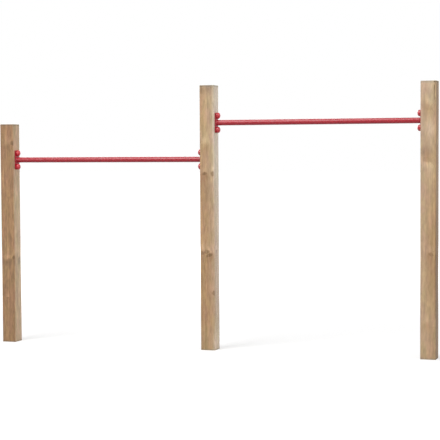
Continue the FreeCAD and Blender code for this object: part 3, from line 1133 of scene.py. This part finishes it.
def camera_turn(stage):
    """Turn of the camera from its yaw, pitch and roll."""
    flat = math.cos(stage.pitch)
    ahead = Vector((-math.sin(stage.yaw) * flat, math.cos(stage.yaw) * flat, -math.sin(stage.pitch)))
    level = Vector((math.cos(stage.yaw), math.sin(stage.yaw), 0.0))
    above = level.cross(ahead)
    right = math.cos(stage.roll) * level + math.sin(stage.roll) * above
    up = math.cos(stage.roll) * above - math.sin(stage.roll) * level
    return Matrix((right, up, -ahead)).transposed().to_4x4()


def hang(lamp, place, target):
    """Puts a lamp in its place, turned to its target."""
    holder = bpy.data.objects.new(lamp.name, lamp)
    holder.location = place
    holder.rotation_euler = (Vector(target) - Vector(place)).to_track_quat("-Z", "Y").to_euler()
    holder.visible_camera = False
    bpy.context.scene.collection.objects.link(holder)


def soft_box(name, box, power):
    lamp = bpy.data.lights.new(name, "AREA")
    lamp.shape = "RECTANGLE"
    lamp.size, lamp.size_y = box.width, box.height
    lamp.energy = power
    hang(lamp, box.place, box.target)


def broad_light(name, place, strength):
    """Even light from the side that the place is on."""
    lamp = bpy.data.lights.new(name, "SUN")
    lamp.energy = strength
    lamp.angle = FILL_SPREAD
    hang(lamp, place, (0.0, 0.0, 0.0))


def seen_directly(graph):
    """1 for rays that show the background itself: from the camera, in gloss and through glass."""
    seen = 0.0
    for ray in ("Is Camera Ray", "Is Glossy Ray", "Is Transmission Ray"):
        seen = graph.math("MAXIMUM", seen, graph.wire(ray, "ShaderNodeLightPath"))
    return seen


def sky_light(stage):
    """White behind the set, and softer light from all round on it."""
    world = bpy.data.worlds.new("sky")
    world.use_nodes = True
    graph = Graph(world.node_tree)
    strength = seen_directly(graph).between(0.0, 1.0, stage.sky, 1.0)
    background = graph.wire(0, "ShaderNodeBackground", {"Color": (1.0, 1.0, 1.0), "Strength": strength})
    graph.add("ShaderNodeOutputWorld", {"Surface": background})
    bpy.context.scene.world = world


def pale_floor(stage):
    """Pale floor that keeps the shadow of the set and otherwise runs into the white behind it."""
    material, graph = new_material("pale_floor")
    matt = graph.wire(0, "ShaderNodeBsdfDiffuse", {"Color": stage.floor_tone})
    # The lamps fade with distance, so the floor's own white takes over away from the set
    white = graph.place().length().between(*FLOOR_GLOW)
    glow = graph.wire(0, "ShaderNodeEmission", {"Strength": seen_directly(graph) * white})
    both = graph.wire(0, "ShaderNodeAddShader", {0: matt, 1: glow})
    graph.add("ShaderNodeOutputMaterial", {"Surface": both})
    shape = bmesh.new()
    bmesh.ops.create_grid(shape, x_segments=1, y_segments=1, size=stage.floor_size / 2)
    floor = bpy.data.objects.new("floor", to_mesh(shape, "floor"))
    floor.data.materials.append(material)
    bpy.context.scene.collection.objects.link(floor)


# Operators


class BARS_OT_posts(bpy.types.Operator):
    """Builds the three timber posts"""

    bl_idname = "bars.posts"
    bl_label = "Posts"

    def execute(self, context):
        for post in POSTS:
            cutters = [check_cutter(post, check) for check in CHECKS[post]]
            for bar, end, level in product(BARS, ENDS, LEVELS):
                if BARS[bar][end] == post:
                    cutters.append(pilot_cutter(seat(bar, end, level + "_washer")))
            show(combined(post_block(post), cutters, "DIFFERENCE"), post, pine(post))
        return {"FINISHED"}


class BARS_OT_tubes(bpy.types.Operator):
    """Builds the bars, their flanges and the welds between them"""

    bl_idname = "bars.tubes"
    bl_label = "Bars and flanges"

    def execute(self, context):
        coat = powder_coat()
        meshes = {"flange": flange_mesh(), "weld": weld_mesh()}
        for bar in BARS:
            show(tube_mesh(bar), bar + "_tube", coat)
            for end, (kind, mesh) in product(ENDS, meshes.items()):
                place = seat(bar, end, "flange")
                show_copy(mesh, place, f"{bar}_{end}_{kind}", coat)
        return {"FINISHED"}


def fix(meshes, material):
    """Puts a copy of each named mesh at every fixing."""
    for bar, end, level in product(BARS, ENDS, LEVELS):
        place = seat(bar, end, level + "_washer")
        for kind, mesh in meshes.items():
            show_copy(mesh, place, f"{bar}_{end}_{level}_{kind}", material)


class BARS_OT_screws(bpy.types.Operator):
    """Builds the coach screws and their washers"""

    bl_idname = "bars.screws"
    bl_label = "Screws and washers"

    def execute(self, context):
        fix({"screw": screw_mesh(), "washer": washer_mesh()}, zinc_plate())
        return {"FINISHED"}


class BARS_OT_caps(bpy.types.Operator):
    """Builds the two-part snap caps over the screws"""

    bl_idname = "bars.caps"
    bl_label = "Snap caps"

    def execute(self, context):
        fix({"cap_base": base_mesh(), "cap_lid": lid_mesh()}, moulded_plastic())
        return {"FINISHED"}


class BARS_OT_stage(bpy.types.Operator):
    """Sets the camera, the floor and the light"""

    bl_idname = "bars.stage"
    bl_label = "Stage"

    def execute(self, context):
        stage = settings("stage")
        scene = context.scene
        lens = bpy.data.cameras.new("camera")
        lens.lens = stage.lens
        lens.sensor_width = SENSOR_WIDTH
        lens.clip_end = VIEW_LIMIT
        camera = bpy.data.objects.new("camera", lens)
        camera.matrix_world = Matrix.Translation(stage.camera_place) @ camera_turn(stage)
        scene.collection.objects.link(camera)
        scene.camera = camera
        scene.view_settings.view_transform = "Standard"
        sky_light(stage)
        pale_floor(stage)
        for name, box in SOFT_BOXES.items():
            soft_box(name, box, getattr(stage, name))
        broad_light("fill", FILL_PLACE, stage.fill)
        return {"FINISHED"}


class BARS_PT_panel(bpy.types.Panel):
    """Lists the operators and their settings"""

    bl_idname = "BARS_PT_panel"
    bl_label = "Horizontal bars"
    bl_space_type = "VIEW_3D"
    bl_region_type = "UI"
    bl_category = "Bars"

    def draw(self, context):
        for operator in OPERATORS:
            self.layout.operator(operator.bl_idname)
        for name, group in GROUPS.items():
            box = self.layout.box()
            for item in group.__annotations__:
                box.prop(settings(name), item)


GROUPS = {
    "posts": PostSettings,
    "bars": BarSettings,
    "caps": CapSettings,
    "screws": ScrewSettings,
    "stage": StageSettings,
}
OPERATORS = (BARS_OT_posts, BARS_OT_tubes, BARS_OT_screws, BARS_OT_caps, BARS_OT_stage)


def register():
    for kind in (*GROUPS.values(), *OPERATORS, BARS_PT_panel):
        bpy.utils.register_class(kind)
    for name, group in GROUPS.items():
        setattr(bpy.types.Scene, "bars_" + name, PointerProperty(type=group))


def unregister():
    for name in GROUPS:
        delattr(bpy.types.Scene, "bars_" + name)
    for kind in reversed((*GROUPS.values(), *OPERATORS, BARS_PT_panel)):
        bpy.utils.unregister_class(kind)


def main():
    register()
    bpy.ops.bars.posts()
    bpy.ops.bars.tubes()
    bpy.ops.bars.screws()
    bpy.ops.bars.caps()
    bpy.ops.bars.stage()


if __name__ == "__main__":
    main()
